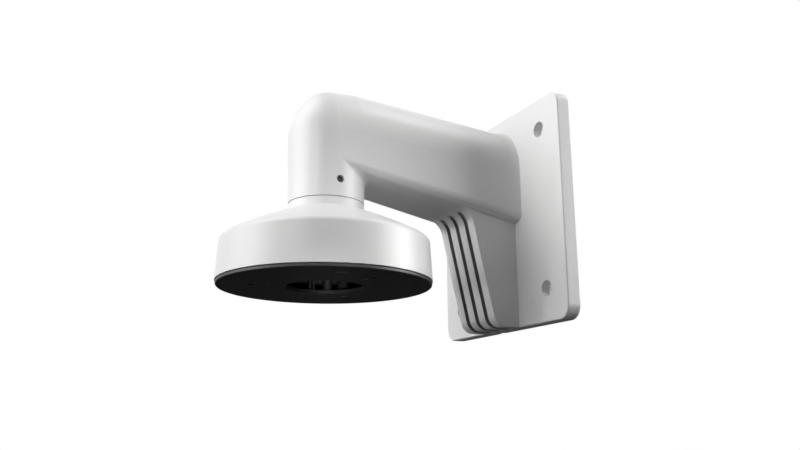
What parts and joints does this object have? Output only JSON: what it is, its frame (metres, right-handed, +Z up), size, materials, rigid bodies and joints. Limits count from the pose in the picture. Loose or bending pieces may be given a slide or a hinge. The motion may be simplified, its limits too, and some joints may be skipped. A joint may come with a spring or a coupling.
{
  "type": "camera wall bracket",
  "caption": "Hollow cast arm on a square wall plate, with a ribbed column under it and a screwed round dish whose black plate takes a dome camera.",
  "frame": {"origin": "centre of the wall plate's back face, which lies on the wall", "axes": "+X along the wall, +Y into the wall, +Z up; the arm reaches out along -Y and the dish's axis is upright"},
  "size_m": [0.155, 0.2137, 0.1565],
  "materials": {
    "white_paint": "satin powder coat",
    "black_plastic": "fine matt",
    "screw_steel": "dark zinc"
  },
  "bodies": {
    "root": {"arm_casting": "white_paint", "dish_cap": "white_paint", "camera_plate": "black_plastic", "plate_screws": "screw_steel", "collar_screw": "screw_steel"}
  },
  "joints": []
}
